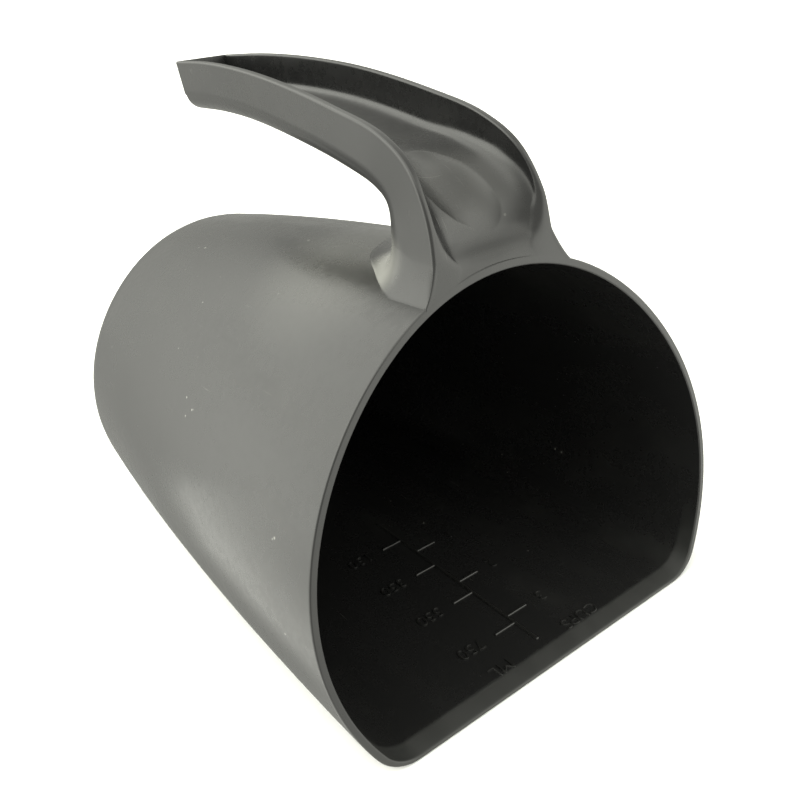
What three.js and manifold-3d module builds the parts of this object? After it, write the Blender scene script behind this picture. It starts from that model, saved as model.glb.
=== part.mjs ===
// Feed scoop: a D-shaped tapering bowl with a raked mouth, and an open-channel grip that stands on the
// mouth rim and reaches back over the bowl. The real scoop is one plastic moulding. Here each wall, floor,
// web and end of that moulding is a solid of its own, and neighbours meet face to face on shared points.
// Millimetres. +Z up, the mouth faces -Y, the scoop rests on its flat underside at z = 0.
import * as THREE from "three";
import Module from "manifold-3d";

const wasm = await Module();
wasm.setup();

// ---- bowl, driving sizes ----
const LENGTH = 203.4; // lip to the outside of the closed end
const MOUTH_RADIUS = 67.5; // round part of the section at the mouth
const BACK_RADIUS = 57.6; // and where the closed end would be without its rounding
const SIDE_BULGE = 3.5; // the sides bow out by this much half way along
const MOUTH_AXIS_Z = 38.6; // height of the round part's centre above the underside
const BACK_AXIS_Z = 34.8;
const BACK_ROUNDING = 27;
const CORNER_RADIUS = 12.2; // between the flat floor and the round part
const CROWN_LIFT = 0.025; // the round part is a little taller than it is wide
const SQUARENESS = 0.01;
const WALL = 2;
const MOUTH_RAKE = 0.147; // the mouth leans back by this much per millimetre of height
const LIP_LENGTH = 8; // bevelled front strip of the floor
const LIP_EDGE = 0.9; // its thickness at the front edge

// ---- handle, driving sizes ----
// Side view of the handle from the free end to the mouth rim. Each row is the half width at the channel's
// top edge, that edge's distance from the lip and its height, then the same two for the underside.
const RAIL = [
  [9.4, 158, 153, 157.1, 137.7],
  [11.3, 131.7, 152.7, 131.9, 137.5],
  [13.1, 106.4, 151, 107.8, 136],
  [14.6, 82.2, 148, 84.8, 133],
  [15.5, 55.5, 142.8, 59, 128],
  [15.9, 35.5, 137.5, 43.7, 123.5],
  [16.6, 24.7, 131, 38.6, 120.4],
  [17.5, 18.4, 120.8, 37.3, 115.7],
  [18.4, 16.4, 109.7, 37.4, 109.4],
  [20.5, 15.3, 104, 37.5, 104.4],
];
const GRIP_WALL = 2.1;
const GRIP_CORNER = 5.4; // outer rounding between the channel's walls and its underside
const GRIP_DRAFT = 1.1; // each wall leans in by this much from its top edge to the underside
const WALL_SHARE = 0.5; // share of the channel's depth that belongs to the wall pieces
const DISH = { centre: 134, halfLength: 18, halfWidth: 9, depth: 1.3 }; // centre measured along the rail
const FOOT_HALF_WIDTH = 22.5;
const FOOT_LENGTH = 40.5; // from the rim back along the crown
const FOOT_SQUARENESS = 2.5; // exponent of the foot's outline
const FOOT_EDGE = 0.35; // thickness left where the foot runs out on the bowl
const SINK = 4; // how far shapes run on past the face that trims them
const HAIRLINE = 0.02; // between the neck and the bowl that it stands on

// How the channel's section changes along the rail: [millimetres from the free end, value].
const CHANNEL_DEPTH = [[0, 9.9], [101, 9.9], [120, 9], [133, 8.5], [144, 7.6], [164, 0.9]];
const BOXINESS = [[0, 4], [101, 3.5], [144, 2]]; // exponent of the floor's curve: 2 is an ellipse
// Stations along the rail, in millimetres from the free end.
const END_WALL = 2.7;
const SHOULDER = 111.6;
const NECK = 151.2;

// ---- scale on the floor: a centre line with ticks of one unit on the left and of another on the right ----
const SCALE = { from: 8.5, to: 86, width: 0.9, height: 0.4, tick: 7.5 };
const LEFT_TICKS = [17.7, 35.9, 54.1, 72.3]; // distances from the lip
const RIGHT_TICKS = [21, 42.4, 63.8];

const ARC_STEPS = 36;
const CORNER_STEPS = 4;

const lerp = (a, b, t) => a + (b - a) * t;
const clamp01 = (t) => Math.min(1, Math.max(0, t));

// A quad's diagonal goes through its first vertex in coordinate order, so two solids that share the quad's
// four points always split it the same way and never overlap.
function addQuad(out, a, b, c, d) {
  const order = (p, q) => p[0] - q[0] || p[1] - q[1] || p[2] - q[2];
  const first = [a, b, c, d].sort(order)[0];
  if (first === a || first === c) out.push(a, b, c, a, c, d);
  else out.push(b, c, d, b, d, a);
}

function addStrip(out, rowA, rowB) {
  for (let j = 0; j + 1 < rowA.length; j++) addQuad(out, rowA[j], rowA[j + 1], rowB[j + 1], rowB[j]);
}

// A closed panel between two grids of points, outer[i][j] and inner[i][j].
function panel(outer, inner) {
  const out = [];
  const last = outer.length - 1;
  const side = outer[0].length - 1;
  for (let i = 0; i < last; i++) {
    addStrip(out, outer[i], outer[i + 1]);
    addStrip(out, inner[i + 1], inner[i]);
    addQuad(out, outer[i][0], outer[i + 1][0], inner[i + 1][0], inner[i][0]);
    addQuad(out, outer[i + 1][side], outer[i][side], inner[i][side], inner[i + 1][side]);
  }
  addStrip(out, inner[0], outer[0]);
  addStrip(out, outer[last], inner[last]);
  return out;
}

// A solid lofted through closed rings of points, with a fan over each end.
function loft(rings) {
  const out = [];
  const closed = rings.map((r) => [...r, r[0]]);
  for (let i = 0; i + 1 < rings.length; i++) addStrip(out, closed[i], closed[i + 1]);
  addFan(out, closed[0], true);
  addFan(out, closed[closed.length - 1], false);
  return out;
}

function addFan(out, ring, flip) {
  const n = ring.length - 1;
  const centre = [0, 1, 2].map((k) => ring.slice(0, n).reduce((s, p) => s + p[k], 0) / n);
  for (let j = 0; j < n; j++) out.push(centre, ...(flip ? [ring[j + 1], ring[j]] : [ring[j], ring[j + 1]]));
}

// ---- welding triangles into a solid ----
function weld(triangles) {
  const index = new Map();
  const points = [];
  const ids = triangles.map((p) => {
    const key = p.map((v) => Math.round(v * 1e4)).join(",");
    if (!index.has(key)) index.set(key, points.push(p) - 1);
    return index.get(key);
  });
  const faces = [];
  for (let i = 0; i < ids.length; i += 3) {
    const [a, b, c] = ids.slice(i, i + 3);
    if (a !== b && b !== c && c !== a) faces.push(a, b, c);
  }
  return { points, faces };
}

function volumeOf({ points, faces }) {
  let sum = 0;
  for (let i = 0; i < faces.length; i += 3) {
    const [a, b, c] = [0, 1, 2].map((k) => new THREE.Vector3(...points[faces[i + k]]));
    sum += a.dot(b.cross(c)) / 6;
  }
  return sum;
}

function faceOut(body) {
  if (volumeOf(body) < 0) body.faces.reverse();
  return body;
}

function solidOf(triangles) {
  const { points, faces } = faceOut(weld(triangles));
  const vertProperties = new Float32Array(points.flat());
  const triVerts = new Uint32Array(faces);
  return new wasm.Manifold(new wasm.Mesh({ numProp: 3, vertProperties, triVerts }));
}

function geometryOf(points, faces) {
  const geometry = new THREE.BufferGeometry();
  geometry.setAttribute("position", new THREE.BufferAttribute(new Float32Array(points), 3));
  geometry.setIndex(new THREE.BufferAttribute(new Uint32Array(faces), 1));
  const flat = geometry.toNonIndexed();
  flat.computeVertexNormals();
  return flat;
}

const PLASTIC = new THREE.MeshStandardMaterial({ color: 0x2b2c2a, roughness: 0.42, metalness: 0 });

function meshOf(name, triangles) {
  const { points, faces } = faceOut(weld(triangles));
  const mesh = new THREE.Mesh(geometryOf(points.flat(), faces), PLASTIC.clone());
  mesh.name = name;
  return mesh;
}

function meshOfSolid(name, solid) {
  const made = solid.getMesh();
  const mesh = new THREE.Mesh(geometryOf(made.vertProperties, made.triVerts), PLASTIC.clone());
  mesh.name = name;
  return mesh;
}

// ---- bowl section ----
// The round part and the two floor corners, from the right end of the flat floor over the crown to its left
// end. `floor` is the height of the flat.
function section(radius, axisZ, corner, floor) {
  const rise = axisZ - floor - corner;
  const cornerX = Math.sqrt(Math.max((radius - corner) ** 2 - rise ** 2, 1));
  const start = Math.atan2(-rise, cornerX);
  const stretch = (turn) => 1 + CROWN_LIFT * Math.cos(2 * turn) + SQUARENESS * Math.cos(4 * turn);
  const grown = stretch(start - Math.PI / 2) - 1;
  const right = [];
  for (let k = 0; k < CORNER_STEPS; k++) {
    const t = lerp(-Math.PI / 2, start, k / CORNER_STEPS);
    const x = cornerX + radius * grown * Math.cos(start) + corner * Math.cos(t);
    right.push([x, floor + corner + corner * Math.sin(t)]);
  }
  const round = [];
  for (let k = 0; k <= ARC_STEPS; k++) {
    const t = lerp(start, Math.PI - start, k / ARC_STEPS);
    const r = radius * stretch(t - Math.PI / 2);
    round.push([r * Math.cos(t), axisZ + r * Math.sin(t) - radius * grown * Math.sin(start)]);
  }
  return [...right, ...round, ...right.map(([x, z]) => [-x, z]).reverse()];
}

const radiusAt = (y) => {
  const u = y / LENGTH;
  return lerp(MOUTH_RADIUS, BACK_RADIUS, u) + SIDE_BULGE * 4 * u * (1 - u);
};
const axisZAt = (y) => lerp(MOUTH_AXIS_Z, BACK_AXIS_Z, y / LENGTH);

const BARREL_END = LENGTH - BACK_ROUNDING;

// Ring of the bowl's skin, `depth` inside the outer surface. Stations lean with the mouth and straighten up
// towards the closed end.
function barrelRing(station, depth) {
  const rake = MOUTH_RAKE * (1 - station / BARREL_END);
  const floor = depth === 0 ? 0 : lerp(LIP_EDGE, depth, clamp01(station / LIP_LENGTH));
  const at = (y) => section(radiusAt(y) - depth, axisZAt(y), CORNER_RADIUS - depth, floor);
  return at(station).map((p, j) => {
    let [x, z] = p;
    for (let pass = 0; pass < 3; pass++) [x, z] = at(station + rake * z)[j];
    return [x, station + rake * z, z];
  });
}

// Ring on the rounded closed end, `turn` from 0 at the barrel to a quarter turn on the back face.
function backRing(turn, depth) {
  const rounding = BACK_ROUNDING - depth;
  const inset = depth + rounding * (1 - Math.cos(turn));
  const y = BARREL_END + rounding * Math.sin(turn);
  const floor = depth + Math.min(rounding * (1 - Math.cos(turn)), BACK_AXIS_Z * 0.6);
  const corner = lerp(CORNER_RADIUS - depth, CORNER_RADIUS * 0.8, clamp01(turn * 4));
  return section(radiusAt(y) - inset, axisZAt(y), corner, floor).map(([x, z]) => [x, y, z]);
}

const STATIONS = [0, LIP_LENGTH, 36, 72, 108, 144, BARREL_END];
const BACK_TURNS = [0, 0.2, 0.4, 0.6, 0.8, 1].map((share) => (share * Math.PI) / 2);

function barrelGrids(stations, columns) {
  const pick = (ring) => columns.map((j) => ring[j]);
  return [0, WALL].map((depth) => stations.map((s) => pick(barrelRing(s, depth))));
}

const RING_SIZE = 2 * CORNER_STEPS + ARC_STEPS + 1;
const span = (from, to) => Array.from({ length: to - from + 1 }, (_, k) => from + k);
const THIRD = ARC_STEPS / 3;
const FIRST = CORNER_STEPS;
const FLOOR_COLUMNS = [...span(RING_SIZE - 1 - CORNER_STEPS, RING_SIZE - 1), ...span(0, CORNER_STEPS)];

const bowlPiece = (name, stations, columns) => meshOf(name, panel(...barrelGrids(stations, columns)));

function bowlBack() {
  const [outer, inner] = [0, WALL].map((depth) => BACK_TURNS.map((turn) => backRing(turn, depth)));
  outer[0] = barrelRing(BARREL_END, 0);
  inner[0] = barrelRing(BARREL_END, WALL);
  const out = [];
  const close = (ring) => [...ring, ring[0]];
  for (let i = 0; i + 1 < outer.length; i++) {
    addStrip(out, close(outer[i]), close(outer[i + 1]));
    addStrip(out, close(inner[i + 1]), close(inner[i]));
  }
  addStrip(out, close(inner[0]), close(outer[0]));
  addFan(out, close(outer[outer.length - 1]), false);
  addFan(out, close(inner[inner.length - 1]), true);
  return meshOf("bowl_back", out);
}

// The bowl filled in and grown by the hairline: the neck is cut to stand on it.
function bowlFilled() {
  const grow = (ring) => ring.map(([x, y, z]) => [x, y, z + HAIRLINE]);
  const rings = STATIONS.map((s) => grow(barrelRing(s, 0)));
  rings.unshift(rings[0].map(([x, y, z]) => [x, y - SINK, z]));
  return solidOf(loft(rings));
}

// ---- handle ----
const curveOf = (toPoint) =>
  new THREE.CatmullRomCurve3(RAIL.map((row) => new THREE.Vector3(...toPoint(row))), false, "centripetal");
const topEdge = curveOf(([, y, z]) => [0, y, z]);
const topEdgeWidth = curveOf(([half, y, z]) => [half, y, z]);
const underside = curveOf(([, , , y, z]) => [0, y, z]);
topEdge.arcLengthDivisions = 800;
const RAIL_LENGTH = topEdge.getLength();

// Piecewise smooth value along the rail.
function along(stops, s) {
  const k = stops.findIndex(([at]) => at > s);
  if (k === 0) return stops[0][1];
  if (k < 0) return stops[stops.length - 1][1];
  const t = (s - stops[k - 1][0]) / (stops[k][0] - stops[k - 1][0]);
  return lerp(stops[k - 1][1], stops[k][1], t * t * (3 - 2 * t));
}

const channelDepth = (s) => along(CHANNEL_DEPTH, s);
const boxiness = (s) => along(BOXINESS, s);

// Local frame at a station: top edge point, half width, height of the section and the way down it.
function frameAt(s) {
  const t = topEdge.getUtoTmapping(s / RAIL_LENGTH);
  const top = topEdge.getPoint(t);
  const down = underside.getPoint(t).sub(top);
  const height = down.length();
  const half = topEdgeWidth.getPoint(t).x;
  return { half, height, y: top.y, z: top.z, downY: down.y / height, downZ: down.z / height };
}

const place = (f, x, depth) => [x, f.y + f.downY * depth, f.z + f.downZ * depth];

// Outer skin of the channel: left top edge, wall, rounded corner, underside, and back up on the right.
function outerProfile(s) {
  const { half, height } = frameAt(s);
  const low = half - GRIP_DRAFT;
  const join = channelDepth(s) * WALL_SHARE;
  const right = [[half, 0], [lerp(half, low, join / height), join]];
  for (let k = 0; k <= 4; k++) {
    const t = (k / 4) * (Math.PI / 2);
    right.push([low - GRIP_CORNER * (1 - Math.cos(t)), height - GRIP_CORNER * (1 - Math.sin(t))]);
  }
  return [...right.map(([x, d]) => [-x, d]), ...right.reverse()];
}

// Inner skin with the same number of points: the walls' inner faces and a rounded floor with its dish.
function innerProfile(s) {
  const { half } = frameAt(s);
  const deep = channelDepth(s);
  const reach = half - GRIP_WALL;
  const n = boxiness(s);
  const xAt = (d) => reach * (1 - (d / deep) ** n) ** (1 / n);
  const floorAt = (x) => deep * (1 - (Math.abs(x) / reach) ** n) ** (1 / n);
  const join = deep * WALL_SHARE;
  const right = [[reach, 0], [xAt(join), join]];
  for (const share of [0.9, 0.75, 0.55, 0.32, 0.1]) {
    const x = xAt(join) * share;
    right.push([x, floorAt(x) + dishDepth(s, x)]);
  }
  return [...right.map(([x, d]) => [-x, d]), ...right.reverse()];
}

function dishDepth(s, x) {
  const r2 = ((s - DISH.centre) / DISH.halfLength) ** 2 + (x / DISH.halfWidth) ** 2;
  return r2 < 1 ? DISH.depth * Math.sqrt(1 - r2) : 0;
}

const profileGrid = (profile, stations, columns) =>
  stations.map((s) => columns.map((j) => place(frameAt(s), ...profile(s)[j])));

function gripPiece(name, stations, columns) {
  const outer = profileGrid(outerProfile, stations, columns);
  const inner = profileGrid(innerProfile, stations, columns);
  return meshOf(name, panel(outer, inner));
}

const evenly = (from, to, steps) => span(0, steps).map((k) => lerp(from, to, k / steps));
const GRIP_STATIONS = evenly(END_WALL, SHOULDER, 9);
const SHOULDER_STATIONS = evenly(SHOULDER, NECK, 10);
const PROFILE_SIZE = outerProfile(0).length;

// The free end is closed by a wall across the channel. Its outer face is drawn in all round as a rounded
// edge: [station, share of the width, share of the height].
const END_ROUNDING = [[0, 0.86, 0.82], [0.5, 0.96, 0.94], [1.4, 1, 0.99], [END_WALL, 1, 1]];

function endWall() {
  const ring = ([s, wide, high]) => outerProfile(s).map(([x, d]) => place(frameAt(s), x * wide, d * high));
  return meshOf("grip_end_wall", loft(END_ROUNDING.map(ring)));
}

// Height of the bowl's crown over a point near the mouth.
function crownZ(x, y) {
  const ring = section(radiusAt(y), axisZAt(y), CORNER_RADIUS, 0).filter(([, z]) => z > axisZAt(y));
  const k = ring.findIndex(([px]) => px < x);
  const t = (ring[k - 1][0] - x) / (ring[k - 1][0] - ring[k][0]);
  return lerp(ring[k - 1][1], ring[k][1], t);
}

function onCrown(x, y) {
  return [x, y, crownZ(x, y)];
}

const RIM_HALF_WIDTH = RAIL[RAIL.length - 1][0]; // half width of the channel where it meets the rim
const RIM_TOP_Y = MOUTH_RAKE * (MOUTH_AXIS_Z + MOUTH_RADIUS); // about how far back the rim's top is

// Outer edge of the mouth rim at a distance x from the middle.
function onRim(x) {
  let y = RIM_TOP_Y;
  for (let pass = 0; pass < 4; pass++) y = MOUTH_RAKE * crownZ(x, y);
  return onCrown(x, y);
}

// Edge of the foot where it runs out on the bowl, at profile point j of the outer skin.
function footEdge(j) {
  const turn = ((1 - Math.abs(1 - (2 * j) / (PROFILE_SIZE - 1))) * Math.PI) / 2;
  const sideways = j * 2 < PROFILE_SIZE - 1 ? -1 : 1;
  const x = sideways * FOOT_HALF_WIDTH * Math.cos(turn) ** (2 / FOOT_SQUARENESS);
  const back = FOOT_LENGTH * Math.sin(turn) ** (2 / FOOT_SQUARENESS);
  const [px, py, pz] = onCrown(x, onRim(x)[1] + back);
  return [px, py, pz + FOOT_EDGE];
}

const mix = (a, b, t) => a.map((v, k) => lerp(v, b[k], t));
const bend = (a, b, c, t) => mix(mix(a, b, t), mix(b, c, t), t);

// The neck leaves the thumb rest, flares to its foot in a curve that runs out flat on the bowl, and goes on
// a little way inside. The bowl's skin then cuts it off.
function neckSolid(filledBowl) {
  const steps = [0, 0.2, 0.4, 0.6, 0.8, 1];
  const f = frameAt(NECK);
  const sink = ([x, y, z]) => [x, y, z - SINK];
  const curves = (profile, edgeOf) =>
    profile(NECK).map(([x, d], j) => {
      const start = place(f, x, d);
      const end = edgeOf(j, x);
      const [kx, ky, kz] = onCrown(x * 1.04, Math.max(start[1], RIM_TOP_Y));
      const knee = [kx, ky, kz + FOOT_EDGE];
      return [...steps.map((t) => bend(start, knee, end, t)), sink(end)];
    });
  const grid = (rows) => rows[0].map((_, i) => rows.map((row) => row[i]));
  const outer = curves(outerProfile, (j) => footEdge(j));
  const reach = RIM_HALF_WIDTH / f.half;
  const inner = curves(innerProfile, (j, x) => onRim(x * reach));
  return solidOf(panel(grid(outer), grid(inner))).subtract(filledBowl);
}

// ---- scale marks: one raised comb, standing on the floor ----
function scaleMarks() {
  const { from, to, width, height, tick } = SCALE;
  const bar = (x0, x1, y0, y1) => {
    const box = new THREE.BoxGeometry(x1 - x0, y1 - y0, height);
    box.translate((x0 + x1) / 2, (y0 + y1) / 2, WALL + height / 2);
    const p = box.toNonIndexed().attributes.position;
    return solidOf(Array.from({ length: p.count }, (_, i) => [p.getX(i), p.getY(i), p.getZ(i)]));
  };
  const half = width / 2;
  const tickBar = (x0, x1) => (y) => bar(x0, x1, y - half, y + half);
  const left = LEFT_TICKS.map(tickBar(-tick, 0));
  const right = RIGHT_TICKS.map(tickBar(0, tick));
  const comb = [...left, ...right].reduce((sum, part) => sum.add(part), bar(-half, half, from, to));
  return meshOfSolid("scale_marks", comb);
}

// ---- assembly ----
const arcColumns = (k) => span(FIRST + k * THIRD, FIRST + (k + 1) * THIRD);
const leftWall = [0, 1];
const rightWall = [PROFILE_SIZE - 2, PROFILE_SIZE - 1];

const scoop = new THREE.Group();
scoop.position.y = -LENGTH / 2;
scoop.add(
  bowlPiece("pouring_lip", STATIONS.slice(0, 2), FLOOR_COLUMNS),
  bowlPiece("bowl_floor", STATIONS.slice(1), FLOOR_COLUMNS),
  bowlPiece("bowl_right_wall", STATIONS, arcColumns(0)),
  bowlPiece("bowl_crown", STATIONS, arcColumns(1)),
  bowlPiece("bowl_left_wall", STATIONS, arcColumns(2)),
  bowlBack(),
  meshOfSolid("neck", neckSolid(bowlFilled())),
  gripPiece("thumb_rest", SHOULDER_STATIONS, span(0, PROFILE_SIZE - 1)),
  gripPiece("grip_floor", GRIP_STATIONS, span(1, PROFILE_SIZE - 2)),
  gripPiece("grip_left_wall", GRIP_STATIONS, leftWall),
  gripPiece("grip_right_wall", GRIP_STATIONS, rightWall),
  endWall(),
  scaleMarks(),
);

export default scoop;
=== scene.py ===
"""Looks of the feed scoop: one black plastic moulding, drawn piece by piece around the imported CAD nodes.

Shapes are worked out in millimetres from the lip, with +y towards the closed end, then moved into the
frame, whose origin is under the middle of the scoop. Every skin is a grid of points, and each piece is a
block of that grid, closed on itself, with the normals of the whole skin so that no seam shows.
"""

import math
from functools import lru_cache

import bmesh
import bpy
import numpy as np
from mathutils import Matrix, Vector


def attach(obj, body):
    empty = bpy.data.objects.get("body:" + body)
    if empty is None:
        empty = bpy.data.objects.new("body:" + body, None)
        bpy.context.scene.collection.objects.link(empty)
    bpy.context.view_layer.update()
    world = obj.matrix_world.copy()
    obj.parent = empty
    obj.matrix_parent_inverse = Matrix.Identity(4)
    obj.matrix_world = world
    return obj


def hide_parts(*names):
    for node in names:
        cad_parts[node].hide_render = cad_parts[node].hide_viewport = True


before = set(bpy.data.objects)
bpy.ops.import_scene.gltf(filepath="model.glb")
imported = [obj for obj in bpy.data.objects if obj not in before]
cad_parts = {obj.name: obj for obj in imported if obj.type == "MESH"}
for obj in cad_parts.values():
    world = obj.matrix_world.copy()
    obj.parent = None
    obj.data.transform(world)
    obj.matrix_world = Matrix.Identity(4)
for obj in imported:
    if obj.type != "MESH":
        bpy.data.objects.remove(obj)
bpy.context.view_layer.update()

MM = 0.001

# ---- bowl sizes: those of the CAD model, but for the bevel of the lip, which is narrower here ----
LENGTH = 203.4
MOUTH_RADIUS = 67.5
BACK_RADIUS = 57.6
SIDE_BULGE = 3.5
MOUTH_AXIS_Z = 38.6
BACK_AXIS_Z = 34.8
BACK_ROUNDING = 27.0
BACK_FLOOR_RISE = 0.6 * BACK_AXIS_Z  # the most that the floor's edge climbs on the closed end
CORNER_RADIUS = 12.2
BACK_CORNER = 0.8 * CORNER_RADIUS
CROWN_LIFT = 0.025
SQUARENESS = 0.01
WALL = 2.0
MOUTH_RAKE = 0.147
LIP_LENGTH = 5.2
LIP_EDGE = 0.9
LIP_CUT = 8.3  # distance from the mouth at which the lip's piece meets the floor's
BARREL_END = LENGTH - BACK_ROUNDING
RIM_ROUND = 0.45  # rounding of the mouth rim's two edges
RIM_SHARE = RIM_ROUND / WALL

# ---- handle sizes ----
# half width, y and z of the channel's top edge, then y and z of its underside
RAIL = np.array(
    [
        [9.4, 158.0, 153.0, 157.1, 137.7],
        [11.3, 131.7, 152.7, 131.9, 137.5],
        [13.1, 106.4, 151.0, 107.8, 136.0],
        [14.6, 82.2, 148.0, 84.8, 133.0],
        [15.5, 55.5, 142.8, 59.0, 128.0],
        [15.9, 35.5, 137.5, 43.7, 123.5],
        [16.6, 24.7, 131.0, 38.6, 120.4],
        [17.5, 18.4, 120.8, 37.3, 115.7],
        [18.4, 16.4, 109.7, 37.4, 109.4],
        [20.5, 15.3, 104.0, 37.5, 104.4],
    ]
)
GRIP_CORNER = 5.4
GRIP_DRAFT = 1.1
EDGE_ROUND = 0.75  # rounding of the channel's outer top edge
SHOULDER = 111.6  # distance along the rail at which the thumb rest starts
NECK = 151.2  # and the neck
END_WALL = 2.7  # thickness of the wall that closes the channel
END_ROLL = 1.9  # how far its outer face rounds in
END_TOP_DROP = 0.35  # share of that rounding at the top edge

# How the channel changes along the rail: [millimetres from the free end, value].
CHANNEL_DEPTH = [(0, 9.9), (101, 9.9), (120, 9.3), (136, 8.2), (147, 6.2)]
CHANNEL_DEPTH += [(152, 5.3), (155, 4.8), (157.5, 3.5), (159.3, 1.9), (160.6, 1.0)]
INNER_ROUND = [(0, 0.6), (138, 0.7), (146, 1.1), (152, 2.0), (156, 3.3), (160.6, 6.0)]
CHANNEL_WALL = [(0, 2.1), (134, 2.1), (143, 1.8), (149, 2.2), (154.5, 3.6), (157.5, 5.0), (160.5, 7.0)]
# Exponent of the channel's curve: 2 is an ellipse, more is boxier.
BOXINESS = [(0, 8.0), (101, 7.5), (125, 5.0), (144, 2.5), (152, 2.1), (160, 2.0)]
DISH_CENTRE = (139.0, -1.2)
DISH_DEPTH = 1.5
DISH_CURVE = 0.85  # under 1 makes the dish's edge a crease
# Edge of the thumb dish: millimetres along the rail and off the middle.
DISH_EDGE = [(119.6, -1.0), (122.6, 2.4), (133.0, 5.7), (145.0, 7.4), (151.5, 7.1), (155.2, 4.2)]
DISH_EDGE += [(154.6, -0.7), (152.2, -4.2), (149.6, -6.9), (145.2, -9.5), (139.0, -10.5)]
DISH_EDGE += [(129.5, -8.6), (122.0, -4.6)]

# Outline of the neck's foot on the crown: half width and distance behind the rim.
FOOT = [(22.4, 0.4), (22.5, 8.0), (22.2, 15.0), (19.6, 21.0), (16.2, 27.5), (10.5, 37.0), (0.0, 43.0)]
FOOT_EDGE = 0.25  # how far the foot's edge stands above the bowl
FOOT_HOLLOW = 0.65  # 0 is a straight slope from neck to foot, 1 a full fillet
RIM_GUESS = 15.5  # y from which the search for a point of the rim starts


def lerp(a, b, t):
    return a + (b - a) * t


def along(stops, s):
    """Smooth value through (place, value) stops, without overshoot."""
    at, value = np.array(stops, float).T
    gap = np.diff(at)
    rise = np.diff(value) / gap
    both = rise[:-1] * rise[1:]
    inner = np.where(both > 0, 2 * both / np.where(both > 0, rise[:-1] + rise[1:], 1), 0)
    slope = np.r_[0, inner, rise[-1]]
    k = np.clip(np.searchsorted(at, s, side="right") - 1, 0, len(at) - 2)
    t = np.clip((s - at[k]) / gap[k], 0, 1)
    start, end = slope[k] * gap[k], slope[k + 1] * gap[k]
    step = value[k + 1] - value[k]
    return (start + end - 2 * step) * t**3 + (3 * step - 2 * start - end) * t**2 + start * t + value[k]


def through(points, t):
    """Catmull-Rom curve through rows of points, t counted in rows."""
    p = np.asarray(points, float)
    p = np.vstack([2 * p[0] - p[1], p, 2 * p[-1] - p[-2]])
    k = np.clip(np.floor(t).astype(int), 0, len(p) - 4)
    u = (np.asarray(t, float) - k)[..., None]
    a, b, c, d = (p[k + i] for i in range(4))
    square, cube = 2 * a - 5 * b + 4 * c - d, 3 * b - a - 3 * c + d
    return 0.5 * (2 * b + (c - a) * u + square * u**2 + cube * u**3)


# ---- bowl ----
FLAT, CORNER, ROUND = 0, 1, 2
FLAT_STEPS, CORNER_STEPS, THIRD_STEPS = 20, 10, 40


def ring_columns():
    """Kind, side and share of each column, from the middle of the floor up the right side and round."""
    right = [(FLAT, 1, k / FLAT_STEPS) for k in range(FLAT_STEPS)]
    right += [(CORNER, 1, k / CORNER_STEPS) for k in range(CORNER_STEPS)]
    arc = [(ROUND, 1, k / (3 * THIRD_STEPS)) for k in range(3 * THIRD_STEPS + 1)]
    left = [(CORNER, -1, 1 - k / CORNER_STEPS) for k in range(1, CORNER_STEPS + 1)]
    left += [(FLAT, -1, 1 - k / FLAT_STEPS) for k in range(1, FLAT_STEPS)]
    return np.array(right + arc + left, float)


COLUMNS = ring_columns()
KIND, SIDE, SHARE = COLUMNS.T


def stretch(turn):
    """Reach of the bowl's round part at a turn from the top, as a share of its radius."""
    return 1 + CROWN_LIFT * np.cos(2 * turn) + SQUARENESS * np.cos(4 * turn)


def corner_start(radius, axis_z, corner, floor):
    """Half width of a floor corner's centre, the turn at which the round part starts there, and how far
    the stretch moves that start outwards."""
    rise = axis_z - floor - corner
    x = np.sqrt(np.maximum((radius - corner) ** 2 - rise**2, 1))
    start = np.arctan2(-rise, x)
    return x, start, radius * (stretch(start - math.pi / 2) - 1)


def section(radius, axis_z, corner, floor):
    """x and z of one section of the bowl: flat floor, two rounded corners and the round part."""
    corner_x, start, grown = corner_start(radius, axis_z, corner, floor)
    corner_x = corner_x + grown * np.cos(start)
    turn = lerp(-math.pi / 2, start, SHARE)
    corner_pt = (corner_x + corner * np.cos(turn), floor + corner + corner * np.sin(turn))
    turn = lerp(start, math.pi - start, SHARE)
    reach = radius * stretch(turn - math.pi / 2)
    round_pt = (reach * np.cos(turn), axis_z + reach * np.sin(turn) - grown * np.sin(start))
    flat_pt = (corner_x * SHARE, floor + 0 * SHARE)
    x = np.select([KIND == FLAT, KIND == CORNER], [flat_pt[0], corner_pt[0]], round_pt[0] * SIDE)
    z = np.select([KIND == FLAT, KIND == CORNER], [flat_pt[1], corner_pt[1]], round_pt[1])
    return x * SIDE, z


def radius_at(y):
    u = y / LENGTH
    return lerp(MOUTH_RADIUS, BACK_RADIUS, u) + SIDE_BULGE * 4 * u * (1 - u)


def axis_at(y):
    return lerp(MOUTH_AXIS_Z, BACK_AXIS_Z, y / LENGTH)


def barrel_ring(station, share):
    """Ring at a share of the wall's thickness inside the outer surface. It leans with the mouth."""
    rake = MOUTH_RAKE * (1 - station / BARREL_END)
    depth = share * WALL
    floor = share * lerp(LIP_EDGE, WALL, min(max(station / LIP_LENGTH, 0), 1))
    y = np.full(len(COLUMNS), float(station))
    for _ in range(5):
        x, z = section(radius_at(y) - depth, axis_at(y), CORNER_RADIUS - depth, floor)
        y = station + rake * z
    return np.stack([x, y, z], 1)


def back_ring(turn, depth):
    """Ring of the closed end, `depth` inside the outer surface, at a turn of its rounding."""
    rounding = BACK_ROUNDING - depth
    inset = depth + rounding * (1 - math.cos(turn))
    y = np.full(len(COLUMNS), BARREL_END + rounding * math.sin(turn))
    floor = depth + min(rounding * (1 - math.cos(turn)), BACK_FLOOR_RISE)
    corner = lerp(CORNER_RADIUS - depth, BACK_CORNER, min(turn * 4, 1))
    x, z = section(radius_at(y) - inset, axis_at(y), corner, floor)
    return np.stack([x, y, z], 1)


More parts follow.
